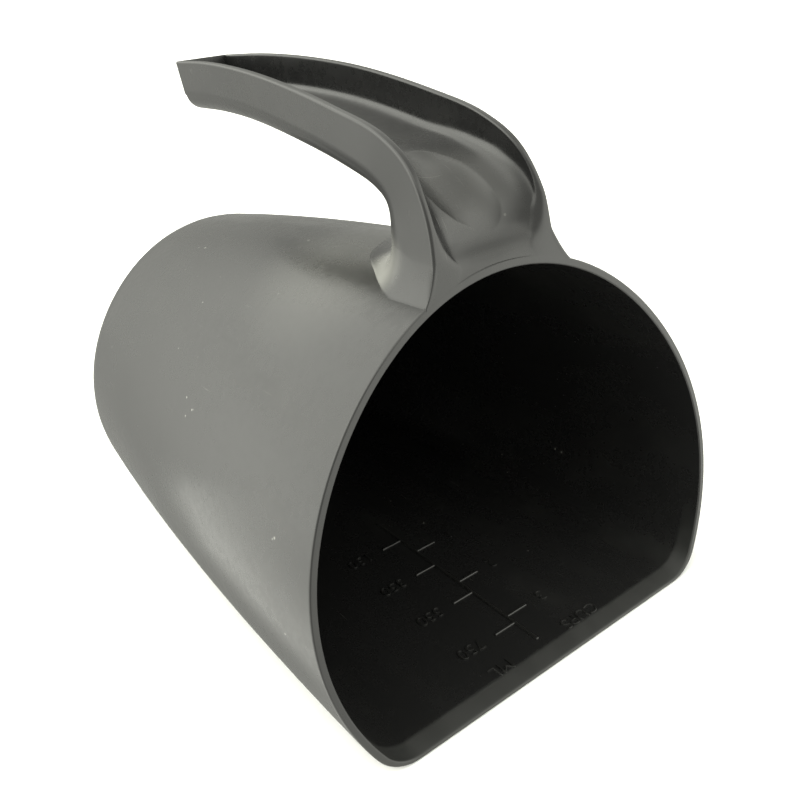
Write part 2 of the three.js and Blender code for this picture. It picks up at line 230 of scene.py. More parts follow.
def back_cap(ring):
    """Rings shrinking to the middle of the closed end."""
    centre = ring.mean(0)
    return [lerp(ring, centre, t) for t in (0.25, 0.5, 0.75, 0.97)]


# Rings of the barrel: distances from the mouth.
BARREL = [RIM_ROUND, 0.8, 1.3, 2, 3, 4.2, 4.9, 5.5, 6.2, LIP_CUT, 10]
BARREL += list(np.arange(12, BARREL_END, 3.4)) + [BARREL_END]
TURNS = np.linspace(0, math.pi / 2, 15)[1:]
RIM_TURNS = np.linspace(0, math.pi / 2, 5)


def bowl_path():
    """The whole skin of the bowl: closed end, outside, over the rim, inside, closed end."""
    outside = [barrel_ring(s, 0) for s in BARREL]
    inside = [barrel_ring(s, 1) for s in BARREL]
    back_out = [back_ring(t, 0) for t in TURNS]
    back_in = [back_ring(t, WALL) for t in TURNS]
    out_edge = [(RIM_ROUND * (1 - math.sin(a)), RIM_SHARE * (1 - math.cos(a))) for a in RIM_TURNS[1:]]
    in_edge = [(s, 1 - q) for s, q in out_edge[::-1]]
    rim = [barrel_ring(s, q) for s, q in out_edge + in_edge]
    back_out += back_cap(back_out[-1])
    back_in += back_cap(back_in[-1])
    rows = back_out[::-1] + outside[::-1] + rim + inside + back_in
    return np.array(rows), len(back_out), len(outside), len(rim)


def grid_normals(grid, wrap):
    """Smooth normals of a grid of points whose second direction closes when wrap is true."""
    if wrap:
        across = np.roll(grid, -1, 1) - np.roll(grid, 1, 1)
    else:
        across = np.gradient(grid, axis=1)
    normal = np.cross(np.gradient(grid, axis=0), across)
    return normal / np.maximum(np.linalg.norm(normal, axis=2, keepdims=True), 1e-12)


# ---- meshes ----
def to_frame(points):
    return (np.asarray(points, float) - [0, LENGTH / 2, 0]) * MM


class Soup:
    """Faces of one piece, each corner with its own point and normal."""

    def __init__(self):
        self.points, self.normals, self.faces = [], [], []

    def add_grid(self, points, normals):
        rows, cols = points.shape[:2]
        base = len(self.points)
        self.points.extend(points.reshape(-1, 3))
        self.normals.extend(normals.reshape(-1, 3))
        for i in range(rows - 1):
            start = base + i * cols
            self.faces += [(a, a + 1, a + cols + 1, a + cols) for a in range(start, start + cols - 1)]

    def add_strip(self, first, second):
        """Flat strip between two rows of points, such as the cut face of a wall."""
        both = np.stack([first, second])
        self.add_grid(both, np.zeros(both.shape))

    def add_zip(self, first, second, key=None):
        """Triangles between two rows of different lengths, stepping along them together."""
        base = len(self.points)
        ways = [key(row) if key else run_along(row) for row in (first, second)]
        self.points.extend(list(first) + list(second))
        self.normals.extend(np.zeros((len(first) + len(second), 3)))
        i, j, other = 0, 0, base + len(first)
        while i < len(first) - 1 or j < len(second) - 1:
            ahead = ways[0][min(i + 1, len(first) - 1)] <= ways[1][min(j + 1, len(second) - 1)]
            if j == len(second) - 1 or (ahead and i < len(first) - 1):
                self.faces.append((base + i, base + i + 1, other + j))
                i += 1
            else:
                self.faces.append((base + i, other + j + 1, other + j))
                j += 1

    def add_fan(self, ring):
        base = len(self.points)
        self.points.extend(ring)
        self.normals.extend(np.zeros((len(ring), 3)))
        self.faces.append(tuple(range(base, base + len(ring))))


def run_along(row):
    """Length along a row of points, as a share of the whole."""
    run = np.r_[0, np.cumsum(np.linalg.norm(np.diff(row, axis=0), axis=1))]
    return run / run[-1]


def welded(soup):
    """Points merged by place, faces on the merged points, and each face's corner normals."""
    points = np.round(np.asarray(soup.points), 4)
    unique, index = np.unique(points, axis=0, return_inverse=True)
    index = index.reshape(-1)
    faces, normals = [], []
    for face in soup.faces:
        corners = {}
        for k in face:
            corners.setdefault(int(index[k]), soup.normals[k])
        if len(corners) > 2:
            faces.append(tuple(corners))
            normals.append(corners)
    return unique, faces, normals


def make_object(name, soup, material):
    points, faces, normals = welded(soup)
    mesh = bpy.data.meshes.new(name)
    mesh.from_pydata([tuple(p) for p in to_frame(points)], [], faces)
    work = bmesh.new()
    work.from_mesh(mesh)
    bmesh.ops.recalc_face_normals(work, faces=work.faces)
    work.to_mesh(mesh)
    work.free()
    mesh.shade_smooth()
    corners = []
    for face in mesh.polygons:
        flat = np.array(face.normal)
        for v in face.vertices:
            n = np.asarray(normals[face.index][v])
            if not n.any():
                n = flat
            corners.append(tuple(n if n @ flat > 0 else -n))
    mesh.normals_split_custom_set(corners)
    piece = bpy.data.objects.new(name, mesh)
    bpy.context.scene.collection.objects.link(piece)
    mesh.materials.append(material)
    return piece


def block(grid, normals, rows, cols):
    """A piece of a skin: rows of the grid taken as a closed loop, over a run of its columns."""
    soup = Soup()
    soup.add_grid(grid[np.ix_(rows, cols)], normals[np.ix_(rows, cols)])
    soup.add_strip(grid[rows[-1], cols], grid[rows[0], cols])
    for col in (cols[0], cols[-1]):
        loop = grid[rows, col]
        half = len(loop) // 2
        soup.add_zip(loop[: half + 1], loop[: half - 1 : -1])
    return soup


def bowl_pieces(material):
    """The bowl's six pieces, each a block of its skin."""
    path, backs, sides, rims = bowl_path()
    normals = grid_normals(path, wrap=True)
    arc = FLAT_STEPS + CORNER_STEPS
    last = len(path) - backs  # first row of the inner closed end
    first = backs  # first row of the outside, where the barrel ends
    lip = BARREL.index(LIP_CUT)
    rim_out, rim_in = backs + sides - 1, backs + sides + rims
    lip_out, lip_in = rim_out - lip, rim_in + lip
    floor_cols = list(range(arc + 3 * THIRD_STEPS, len(COLUMNS))) + list(range(arc + 1))
    whole = list(range(first, last))
    pieces = {
        "bowl_floor": (list(range(first, lip_out + 1)) + list(range(lip_in, last)), floor_cols),
        "pouring_lip": (list(range(lip_out, lip_in + 1)), floor_cols),
    }
    for k, name in enumerate(("bowl_right_wall", "bowl_crown", "bowl_left_wall")):
        cols = list(range(arc + k * THIRD_STEPS, arc + (k + 1) * THIRD_STEPS + 1))
        pieces[name] = (whole, cols)
    made = {}
    for name, (rows, cols) in pieces.items():
        made[name] = make_object(name + "_skin", block(path, normals, rows, cols), material)
    back = Soup()
    ring = list(range(len(COLUMNS))) + [0]
    for rows in (range(0, first + 1), range(last - 1, len(path))):
        back.add_grid(path[np.ix_(list(rows), ring)], normals[np.ix_(list(rows), ring)])
    back.add_strip(path[first, ring], path[last - 1, ring])
    back.add_fan(path[0])
    back.add_fan(path[-1])
    made["bowl_back"] = make_object("bowl_back_skin", back, material)
    return made


# ---- handle ----
def rail_curve(points):
    """Centripetal Catmull-Rom curve through points, as a function of t counted in rows."""
    p = np.vstack([2 * points[0] - points[1], points, 2 * points[-1] - points[-2]])
    gap = np.sqrt(np.linalg.norm(np.diff(p, axis=0), axis=1))

    def at(t):
        t = np.asarray(t, float)
        k = np.clip(np.floor(t).astype(int), 0, len(points) - 2)
        u = (t - k)[..., None]
        a, b, c, d = (p[k + i] for i in range(4))
        g0, g1, g2 = (gap[k + i][..., None] for i in range(3))
        m1 = ((b - a) / g0 - (c - a) / (g0 + g1) + (c - b) / g1) * g1
        m2 = ((c - b) / g1 - (d - b) / (g1 + g2) + (d - c) / g2) * g1
        rise = c - b
        return (m1 + m2 - 2 * rise) * u**3 + (3 * rise - 2 * m1 - m2) * u**2 + m1 * u + b

    return at


top_edge = rail_curve(RAIL[:, 1:3])
top_width = rail_curve(RAIL[:, :3])
underside = rail_curve(RAIL[:, 3:])
FINE = np.linspace(0, len(RAIL) - 1, 4001)
FINE_LENGTH = np.r_[0, np.cumsum(np.linalg.norm(np.diff(top_edge(FINE), axis=0), axis=1))]

# How many steps each stretch of the channel's half section has, from the underside's middle to the bed's.
UNDER_STEPS, BEND_STEPS, SIDE_STEPS, EDGE_STEPS = 8, 10, 10, 6
STRIP_STEPS, TURN_STEPS, BED_STEPS = 4, 6, 44
WALL_REACH = 8  # steps of the bed that belong to the grip's side walls
GRIP_ROWS, SHOULDER_ROWS = 70, 90
CURVE_POINTS = 600
ROUND_MOST = 0.4  # the share of the channel's depth that its inner edge's rounding may take


def outer_half(half, height):
    """Underside, rounded corner, side and top edge: x and distance down from the top edge."""
    low = half - GRIP_DRAFT
    flat = [(x, height) for x in np.linspace(0, low - GRIP_CORNER, UNDER_STEPS + 1)[:-1]]
    corner = [
        (low - GRIP_CORNER * (1 - math.sin(a)), height - GRIP_CORNER * (1 - math.cos(a)))
        for a in np.linspace(0, math.pi / 2, BEND_STEPS + 1)
    ]
    downs = np.linspace(height - GRIP_CORNER, EDGE_ROUND, SIDE_STEPS + 1)
    side = [(lerp(half, low, d / height), d) for d in downs]
    edge = [
        (half - EDGE_ROUND * (1 - math.cos(a)), EDGE_ROUND * (1 - math.sin(a)))
        for a in np.linspace(0, math.pi / 2, EDGE_STEPS + 1)
    ]
    return flat + corner[:-1] + side + edge[1:]


def inner_half(s, half, hand):
    """Top strip, inner edge and bed of the channel, with the thumb dish pressed into the bed."""
    deep = along(CHANNEL_DEPTH, s)
    inner = half - along(CHANNEL_WALL, s)
    wide = along(INNER_ROUND, s)
    n = along(BOXINESS, s)
    strip = [(x, 0.0) for x in np.linspace(half - EDGE_ROUND, inner + wide, STRIP_STEPS + 1)]
    start = math.asin((min(wide, ROUND_MOST * deep) / deep) ** (n / 2))
    t = np.linspace(start, math.pi / 2, CURVE_POINTS)
    curve = np.stack([inner * np.maximum(np.cos(t), 0) ** (2 / n), deep * np.sin(t) ** (2 / n)], 1)
    run = np.r_[0, np.cumsum(np.linalg.norm(np.diff(curve, axis=0), axis=1))]
    steps = np.linspace(0, run[-1], BED_STEPS + 1)
    bed_x, bed_d = (np.interp(steps, run, curve[:, k]) for k in (0, 1))
    bed_x[-1] = 0
    u = np.linspace(0, 1, TURN_STEPS + 1)[1:-1]
    turn_x = (1 - u) ** 2 * (inner + wide) + 2 * u * (1 - u) * inner + u**2 * bed_x[0]
    turn = list(zip(turn_x, u**2 * bed_d[0]))
    bed = list(zip(bed_x, bed_d + dish(s, hand * bed_x)))
    return strip[1:] + turn + bed


def half_profile(s, half, height, hand=1):
    """Half of the channel's section, from the underside's middle round to the bed's middle.
    Each point is (x, distance down from the top edge)."""
    return np.array(outer_half(half, height) + inner_half(s, half, hand))


def dish_reach():
    """Turn about the dish's centre and reach to its edge, all the way round."""
    ring = np.array(DISH_EDGE[-2:] + DISH_EDGE + DISH_EDGE[:2], float)
    curve = through(ring, np.linspace(2, len(ring) - 2, 241)) - DISH_CENTRE
    turn = np.unwrap(np.arctan2(curve[:, 1], curve[:, 0]))
    return turn, np.hypot(*curve.T)


DISH_TURN, DISH_REACH = dish_reach()


def dish(s, x):
    """Depth of the thumb dish, with a crease at its edge."""
    along_rail, off = s - DISH_CENTRE[0], x - DISH_CENTRE[1]
    turn = np.arctan2(off, along_rail)
    low = DISH_TURN.min()
    turn = low + (turn - low) % (2 * math.pi)
    order = np.argsort(DISH_TURN)
    reach = np.interp(turn, DISH_TURN[order], DISH_REACH[order])
    share = np.minimum(np.hypot(along_rail, off) / reach, 1)
    return DISH_DEPTH * (1 - share**2) ** DISH_CURVE


def frame_at(s):
    """Half width, height, top edge and downward direction of the channel at a place on the rail."""
    t = np.interp(s, FINE_LENGTH, FINE)
    top = top_edge(t)
    down = underside(t) - top
    height = np.linalg.norm(down)
    return top_width(t)[0], height, top, down / height


@lru_cache(maxsize=None)
def ring_at(s):
    """Closed section at a station, right half then left half back to the start."""
    half, height, top, down = frame_at(s)
    sides = []
    for hand in (1, -1):
        x, d = half_profile(s, half, height, hand).T
        sides.append(np.stack([hand * x, top[0] + down[0] * d, top[1] + down[1] * d], 1))
    return np.vstack([sides[0], sides[1][-2:0:-1]])


# Where each stretch of the half section starts.
I_BEND = UNDER_STEPS
I_SIDE = I_BEND + BEND_STEPS
I_EDGE = I_SIDE + SIDE_STEPS
I_STRIP = I_EDGE + EDGE_STEPS
I_TURN = I_STRIP + STRIP_STEPS
I_BED = I_TURN + TURN_STEPS
HALF_SIZE = I_BED + BED_STEPS + 1


def shell_z(x, y, depth):
    """Height of the bowl's round part, `depth` inside the outer surface."""
    radius = radius_at(y) - depth
    start, grown = corner_start(radius, axis_at(y), CORNER_RADIUS - depth, depth)[1:]
    turn = np.arcsin(x / radius)
    for _ in range(4):
        turn = np.arcsin(x / (radius * stretch(turn)))
    return axis_at(y) + radius * stretch(turn) * np.cos(turn) - grown * np.sin(start)


def rim_point(x, station, share):
    """Point of the mouth rim's skin at a distance x from the middle."""
    y = RIM_GUESS
    for _ in range(6):
        z = shell_z(x, y, share * WALL)
        y = station + MOUTH_RAKE * (1 - station / BARREL_END) * z
    return np.array([x, y, z])


FLARE_ROWS = np.linspace(0, 1, 19)
NECK_ROWS = 16
BACK_START = 152.2  # place on the rail where the neck's back starts to flare
SIDE_START = 155.0  # and its sides at the back
WALL_END = 158.2  # and its sides at the front
FRONT_END = 160.6  # where the neck's front face has come level with the mouth
LEAVES = [(0, BACK_START), (I_BEND, BACK_START), (I_SIDE, SIDE_START), (I_SIDE + 5, WALL_END)]
LEAVES += [(I_STRIP, WALL_END), (I_TURN, FRONT_END), (HALF_SIZE, FRONT_END)]
# Rows of FOOT that columns of the half section end on.
FOOT_ROWS = [(0, 6.0), (I_BEND, 4.6), (I_SIDE, 2.2), (I_EDGE, 0.0)]
KNEE_SPREAD = 1.03  # how much wider than the rail the flare is at its knee
KNEE_DOWN, KNEE_IN = 0.6, 0.25  # how far the knee of the front face is on its way to the rim, in z and x
FRONT_SPREAD = 3.0  # columns over which the front face takes up the rim's width
SUNK = 0.8  # how far the neck's skin goes on inside the bowl's wall


def flare_start(k):
    """Place where column k of the half section leaves the rail."""
    return float(np.interp(k, *np.array(LEAVES, float).T))


def flare_end(k, start):
    """Where column k of the half section ends on the bowl or on the rim."""
    if k <= I_EDGE:
        x, back = through(FOOT, float(np.interp(k, *np.array(FOOT_ROWS).T)))
        x = abs(x)
        y = rim_point(x, 0, 0)[1] + back
        return np.array([x, y, shell_z(x, y, 0) + FOOT_EDGE])
    reach = FOOT[0][0]
    if k <= I_STRIP:
        turn = (k - I_EDGE) / EDGE_STEPS * math.pi / 2
        return rim_point(reach, RIM_ROUND * (1 - math.sin(turn)), RIM_SHARE * (1 - math.cos(turn)))
    strip_x = ring_at(WALL_END)[I_STRIP][0]
    share = min((k - I_STRIP) / FRONT_SPREAD, 1)
    return rim_point(start[0] * reach / strip_x, 0, lerp(RIM_SHARE, 1 - RIM_SHARE, share))


def bend(a, b, c, t):
    """Point of the curve from a to c that bends towards b."""
    return lerp(lerp(a, b, t), lerp(b, c, t), t)


def flare_knee(start, end, outer):
    """Point that a column bends towards on its way to the bowl."""
    x = start[0] * KNEE_SPREAD
    if outer:
        y = max(start[1], rim_point(x, 0, 0)[1])
        corner = np.array([x, y, shell_z(x, y, 0) + FOOT_EDGE])
        return lerp((start + end) / 2, corner, FOOT_HOLLOW)
    z = lerp(start[2], end[2], KNEE_DOWN)
    return np.array([lerp(x, end[0], KNEE_IN), MOUTH_RAKE * z, z])


def neck_columns(hand):
    """Each column of one half of the neck: down the rail, then flaring out on to the bowl."""
    columns = []
    for k in range(HALF_SIZE):
        leave = flare_start(k)
        rail = [ring_at(s)[hand * k] * [hand, 1, 1] for s in np.linspace(NECK, leave, NECK_ROWS + 1)]
        start = rail[-1]
        end = flare_end(k, start)
        outer = k <= I_EDGE
        knee = flare_knee(start, end, outer)
        flare = [bend(start, knee, end, t) for t in FLARE_ROWS[1:]]
        sunk = end - [0, 0, SUNK] if outer else rim_point(end[0], WALL / 2, 0.5)
        columns.append(rail + flare + [sunk])
    return np.array(columns) * [hand, 1, 1]


def neck_grid():
    """The neck's columns all the way round."""
    return np.vstack([neck_columns(1), neck_columns(-1)[-2:0:-1]])


END_STATIONS = [0.0, 0.06, 0.25, 0.55, 0.95, 1.4, END_ROLL, END_WALL]


def cap_channel(soup, loop, key=None):
    """Close the end of a whole channel section: outer half against inner half, right and left."""
    top = I_STRIP + STRIP_STEPS // 2
    for side in (loop[:HALF_SIZE], np.vstack([loop[:1], loop[: HALF_SIZE - 2 : -1]])):
        soup.add_zip(side[: top + 1], side[: top - 1 : -1], key)


def across(row):
    """Places along a row, counted by how near each point is to the middle."""
    return -np.abs(row[:, 0])


def handle_skin():
    """The handle's skin without its end wall, and its normals. The first column comes again as the last."""
    grip = list(np.linspace(END_WALL, SHOULDER, GRIP_ROWS))
    shoulder = list(np.linspace(SHOULDER, NECK, SHOULDER_ROWS))
    rail = np.array([ring_at(s) for s in grip + shoulder[1:]]).transpose(1, 0, 2)
    whole = np.concatenate([rail, neck_grid()[:, 1:]], axis=1)
    closed = np.vstack([whole, whole[:1]])
    return closed, grid_normals(np.vstack([whole[-1:], closed, whole[1:2]]), wrap=False)[1:-1]


def handle_pieces(material):
    """The handle's six pieces. All but the end wall are blocks of one skin."""
    closed, normals = handle_skin()
    whole = closed[:-1]
    size = len(whole)
    everything = list(range(size + 1))
    join_out = I_SIDE + SIDE_STEPS // 2
    join_in = I_BED + WALL_REACH
    grip = list(range(GRIP_ROWS))
    wall = list(range(join_out, join_in + 1))
    mirror = [size - k for k in wall[::-1]]
    bed = list(range(join_in, size - join_in + 1))
    floor = bed + list(range(size - join_out, size)) + list(range(0, join_out + 1))
    shoulder = list(range(GRIP_ROWS - 1, GRIP_ROWS + SHOULDER_ROWS - 1))
    down = list(range(shoulder[-1], whole.shape[1]))
    made = {}
    for name, rows, cols in (
        ("grip_right_wall", wall, grip),
        ("grip_left_wall", mirror, grip),
        ("grip_floor", floor, grip),
    ):
        made[name] = make_object(name + "_skin", block(closed, normals, rows, cols), material)
    for name, cols, key in (("thumb_rest", shoulder, None), ("neck", down, across)):
        soup = Soup()
        soup.add_grid(closed[np.ix_(everything, cols)], normals[np.ix_(everything, cols)])
        cap_channel(soup, whole[:, cols[0]])
        cap_channel(soup, whole[:, cols[-1]], key)
        made[name] = make_object(name + "_skin", soup, material)
    made["grip_end_wall"] = make_object("grip_end_wall_skin", end_wall(), material)
    return made


def end_wall():
    """The wall that closes the channel at its free end, its outer face rounded all the way round."""
    rings = []
    for s in END_STATIONS:
        half, height, top, down = frame_at(s)
        x, d = half_profile(END_WALL, half, height)[: I_STRIP + 1].T
        inset = 0 if s >= END_ROLL else END_ROLL * (1 - math.sqrt(1 - ((END_ROLL - s) / END_ROLL) ** 2))
        x, d = x * (1 - inset / half), inset * END_TOP_DROP + d * (1 - inset / height)
        right = np.stack([x, top[0] + down[0] * d, top[1] + down[1] * d], 1)
        top_row = np.linspace(right[-1], right[-1] * [-1, 1, 1], 13)[1:-1]
        rings.append(np.vstack([right, top_row, right[::-1] * [-1, 1, 1]]))
    grid = np.array(rings)
    wide = np.concatenate([grid[:, -2:-1], grid, grid[:, 1:2]], axis=1)
    normals = grid_normals(wide, wrap=False)[:, 1:-1]
    soup = Soup()
    soup.add_grid(grid, normals)
    soup.add_fan(grid[0])
    soup.add_fan(grid[-1])
    return soup


# ---- materials ----
class Nodes:
    """Short calls for building a node tree."""

    def __init__(self, tree):
        self.tree = tree

    def feed(self, socket, value):
        """Link a socket to another socket, or set it to a constant."""
        if isinstance(value, bpy.types.NodeSocket):
            self.tree.links.new(value, socket)
        else:
            socket.default_value = value

    def add(self, kind, inputs=(), **settings):
        node = self.tree.nodes.new(kind)
        for key, value in settings.items():
            setattr(node, key, value)
        for key, value in dict(inputs).items():
            self.feed(node.inputs[key], value)
        return node

    def noise(self, place, scale, detail=3.0, roughness=0.55):
        inputs = {"Vector": place, "Scale": scale, "Detail": detail, "Roughness": roughness}
        return self.add("ShaderNodeTexNoise", inputs).outputs["Fac"]

    def band(self, value, low, high, to_low=0.0, to_high=1.0):
        """Soft step from to_low, where the value is low, to to_high, where it is high."""
        inputs = {"Value": value, "From Min": low, "From Max": high, "To Min": to_low, "To Max": to_high}
        return self.add("ShaderNodeMapRange", inputs, interpolation_type="SMOOTHSTEP").outputs["Result"]

    def math(self, kind, a, b=0.0):
        return self.add("ShaderNodeMath", {0: a, 1: b}, operation=kind).outputs[0]

    def mix(self, share, first, second):
        """Blend of two colours."""
        inputs = {"Factor": share, 6: first, 7: second}
        return self.add("ShaderNodeMix", inputs, data_type="RGBA").outputs[2]

    def stretched(self, place, scale, turn):
        inputs = {"Vector": place, "Scale": scale, "Rotation": turn}
        return self.add("ShaderNodeMapping", inputs).outputs["Vector"]


BLACK = (0.0105, 0.0105, 0.0105, 1)
WORN = (0.019, 0.019, 0.018, 1)
DUST = (0.26, 0.26, 0.24, 1)
SCRAPED = (0.016, 0.0165, 0.0155, 1)  # bevel of the lip, dulled by use
RAISED = (0.0115, 0.0115, 0.011, 1)  # tops of the scale, dulled by use
DISH_SCUFF_AND_SHEEN = (0.032, 0.032, 0.031, 1)  # thumb dish, dulled by use and lightened partly as a painted highlight
PAINTED_LIGHT = (0.19, 0.19, 0.175, 1)  # painted highlight: lighter colour at the neck's foot, also used for painted light on the crown behind the neck

# Noises: scale per metre, detail and roughness.
CLOUD = (26.0, 4.0, 0.6)
SMEAR, SMEAR_STRETCH, SMEAR_TURN = (1.0, 5.0, 0.6), (60, 14, 30), (0.3, 0.2, 0.5)
GRAIN = (1500.0, 2.0)
FLECK = (420.0, 2.0)
SCRATCHED_PATCH = (34.0, 2.0)
SPECK_GROUP = (95.0, 1.0)
SPECK_REGION = (19.0, 1.0)
SPECK_SCALE = 260.0

# Bands: where the value has no effect and its full effect, then the two effects when they aren't 0 and 1.
WORN_CLOUD, WORN_SMEAR = (0.45, 0.75), (0.4, 0.7)
SCRAPED_BACK, SCRAPED_UP = (0.0056, 0.0044), (0.022, 0.004)  # metres behind the mouth and off the ground
SCRAPED_UNEVEN = (0.15, 0.6, 0.7, 1.0)
SCRATCHES_ONE_WAY = ((1100, 45, 90), (0.1, 0.2, 0.35), (0.70, 0.76))  # stretch, turn and band of the noise
SCRATCHES_OTHER_WAY = ((55, 950, 80), (0.4, 0.1, 1.1), (0.71, 0.77))
SCRATCHED, SPECK_EDGE, SPECK_FEW, SPECK_HERE = (0.52, 0.66), (0.12, 0.06), (0.62, 0.66), (0.5, 0.58)
SCRATCH_DUST, SPECK_DUST = 0.12, 0.8
SMEAR_ROUGH, FLECK_ROUGH = (0.3, 0.7), (0.3, 0.7, -0.02, 0.03)
SMOOTHEST, ROUGHEST = -0.05, 0.06  # how far the smears take the roughness from the plastic's own
SCRATCH_ROUGH, SCRAPED_ROUGH = 0.12, 0.2
GRAIN_HEIGHT, FLECK_HEIGHT, CLOUD_HEIGHT, RELIEF = 0.000006, 0.000006, 0.00012, 0.6

# Patches, in metres: the middle, then a band of distances from it and an unevenness.
# Painted highlight at the neck's foot, where its fillets catch the light.
FOOT_HIGHLIGHT_SPOT, FOOT_HIGHLIGHT_REACH, FOOT_HIGHLIGHT_UNEVEN = (0.0155, -0.0625, 0.1075), (0.0125, 0.003), (0.2, 0.6, 0.75, 1.0)
DISH_SPOT = tuple(to_frame(ring_at(DISH_CENTRE[0])[HALF_SIZE - 1]))
# Dish patch: scuffing, lightened partly as a painted highlight.
DISH_SCUFF_AND_SHEEN_REACH, DISH_SCUFF_AND_SHEEN_UNEVEN = (0.017, 0.007), (0.2, 0.7, 0.6, 1.0)
# Painted light: a lighter patch on the crown behind the neck, where the neck's shade falls.
CROWN_LIGHT_SPOT, CROWN_LIGHT_REACH, CROWN_LIGHT_UNEVEN = (-0.011, -0.045, 0.106), (0.040, 0.008), (0.2, 0.7, 0.17, 0.26)
SETTLED_UP = (0.55, 0.9)  # how squarely a face has to look up for dust to settle on it
SETTLED_BACK = (-0.055, -0.015, 0.0, 0.25)  # y from which it has settled, and how rough it makes the grip


def scraped_lip(n, axes, smear):
    """Share of scraping: all along the lip's bevel, fading out up the sides of the mouth."""
    leaning = n.math("MULTIPLY", axes[2], MOUTH_RAKE)
    from_lip = n.math("SUBTRACT", n.math("ADD", axes[1], LENGTH / 2 * MM), leaning)
    on_lip = n.math("MULTIPLY", n.band(from_lip, *SCRAPED_BACK), n.band(axes[2], *SCRAPED_UP))
    return n.math("MULTIPLY", on_lip, n.band(smear, *SCRAPED_UNEVEN))


def patch(n, place, middle, reach, uneven):
    """Share of a soft round patch."""
    away = n.add("ShaderNodeVectorMath", {0: place, 1: middle}, operation="DISTANCE").outputs["Value"]
    return n.math("MULTIPLY", n.band(away, *reach), uneven)


def handle_highlight_and_scuffs(n, place, axes, cloud, smear, colour):
    """Painted highlight on both sides of the neck's foot, and the thumb dish's scuffing, lightened partly
    as a painted highlight.
    """
    side = n.math("ABSOLUTE", axes[0])
    here = n.add("ShaderNodeCombineXYZ", {0: side, 1: axes[1], 2: axes[2]}).outputs[0]
    foot_highlight = patch(n, here, FOOT_HIGHLIGHT_SPOT, FOOT_HIGHLIGHT_REACH, n.band(cloud, *FOOT_HIGHLIGHT_UNEVEN))
    colour = n.mix(foot_highlight, colour, PAINTED_LIGHT)
    dish_scuff_and_sheen = patch(n, place, DISH_SPOT, DISH_SCUFF_AND_SHEEN_REACH, n.band(smear, *DISH_SCUFF_AND_SHEEN_UNEVEN))
    return n.mix(dish_scuff_and_sheen, colour, DISH_SCUFF_AND_SHEEN)


def scratch_lines(n, place):
    """Thin scratches that run two ways, in patches."""
    ways = []
    for stretch_by, turn, line in (SCRATCHES_ONE_WAY, SCRATCHES_OTHER_WAY):
        ways.append(n.band(n.noise(n.stretched(place, stretch_by, turn), 1.0, 2.0), *line))
    where = n.band(n.noise(place, *SCRATCHED_PATCH), *SCRATCHED)
    return n.math("MULTIPLY", n.math("MAXIMUM", *ways), where)


def specks(n, place):
    """A few specks, in small groups and only in some regions."""
    cells = n.add("ShaderNodeTexVoronoi", {"Vector": place, "Scale": SPECK_SCALE, "Randomness": 1.0})
    few = n.band(n.noise(place, *SPECK_GROUP), *SPECK_FEW)
    dots = n.math("MULTIPLY", n.band(cells.outputs["Distance"], *SPECK_EDGE), few)
    return n.math("MULTIPLY", dots, n.band(n.noise(place, *SPECK_REGION), *SPECK_HERE))


def roughness(n, gloss, smear, fleck, lines, scraped):
    rough = n.band(smear, *SMEAR_ROUGH, gloss + SMOOTHEST, gloss + ROUGHEST)
    rough = n.math("ADD", rough, n.band(fleck, *FLECK_ROUGH))
    rough = n.math("ADD", rough, n.math("MULTIPLY", lines, SCRATCH_ROUGH))
    return n.math("ADD", rough, n.math("MULTIPLY", scraped, SCRAPED_ROUGH))


def settled_dust(n, axes):
    """How much rougher settled dust makes the faces that look up, from the dish to the free end."""
    normal = n.add("ShaderNodeTexCoord").outputs["Normal"]
    upward = n.add("ShaderNodeSeparateXYZ", {0: normal}).outputs[2]
    return n.math("MULTIPLY", n.band(upward, *SETTLED_UP), n.band(axes[1], *SETTLED_BACK))


def relief(n, place, fleck, cloud):
    """Normal of the grained, slightly wavy surface."""
    grain = n.math("MULTIPLY", n.noise(place, *GRAIN), GRAIN_HEIGHT)
    height = n.math("ADD", grain, n.math("MULTIPLY", fleck, FLECK_HEIGHT))
    height = n.math("ADD", height, n.math("MULTIPLY", cloud, CLOUD_HEIGHT))
    bump = n.add("ShaderNodeBump", {"Height": height, "Strength": RELIEF, "Distance": 1.0})
    return bump.outputs["Normal"]


